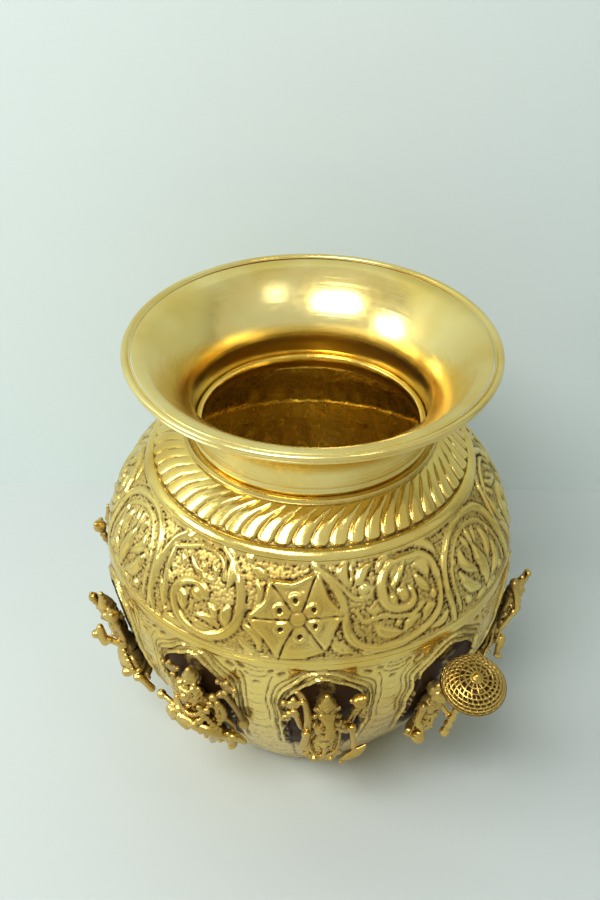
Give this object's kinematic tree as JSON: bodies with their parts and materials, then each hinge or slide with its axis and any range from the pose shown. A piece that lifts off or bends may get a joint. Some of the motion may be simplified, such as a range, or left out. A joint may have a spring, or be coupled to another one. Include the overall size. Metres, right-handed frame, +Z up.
{
  "type": "lota",
  "caption": "Round-bellied brass water pot with a trumpet mouth and small cast figures riveted around its lower belly.",
  "frame": {"origin": "centre of the flat underside of the base disc", "axes": "+Z up along the pot's turning axis, -Y towards the viewer of the picture"},
  "size_m": [0.1667, 0.1675, 0.171],
  "materials": {
    "body": "polished, embossed, with dark patina in the recesses",
    "mouth": "spun, satin polish",
    "casting": "cast, bright edges with dark patina in the recesses",
    "rivet": "hammered, dull"
  },
  "bodies": {
    "root": {"base_disc": "body", "bowl_shell": "body", "shoulder_shell": "body", "mouth_flare": "mouth", "rim_ring": "mouth", "umbrella_dome": "casting", "boar_figure": "casting", "dwarf_figure": "casting", "axe_bearer_figure": "casting", "bow_bearer_figure": "casting", "plough_bearer_figure": "casting", "flute_player_figure": "casting", "horse_rider_figure": "casting", "fish_figure": "casting", "tortoise_figure": "casting", "lion_figure": "casting", "boar_rivet_lower": "rivet", "boar_rivet_upper": "rivet", "dwarf_rivet_lower": "rivet", "dwarf_rivet_upper": "rivet", "axe_bearer_rivet_lower": "rivet", "axe_bearer_rivet_upper": "rivet", "bow_bearer_rivet_lower": "rivet", "bow_bearer_rivet_upper": "rivet", "plough_bearer_rivet_lower": "rivet", "plough_bearer_rivet_upper": "rivet", "flute_player_rivet_lower": "rivet", "flute_player_rivet_upper": "rivet", "horse_rider_rivet_lower": "rivet", "horse_rider_rivet_upper": "rivet", "fish_rivet_lower": "rivet", "fish_rivet_upper": "rivet", "tortoise_rivet_lower": "rivet", "tortoise_rivet_upper": "rivet", "lion_rivet_lower": "rivet", "lion_rivet_upper": "rivet"}
  },
  "joints": []
}
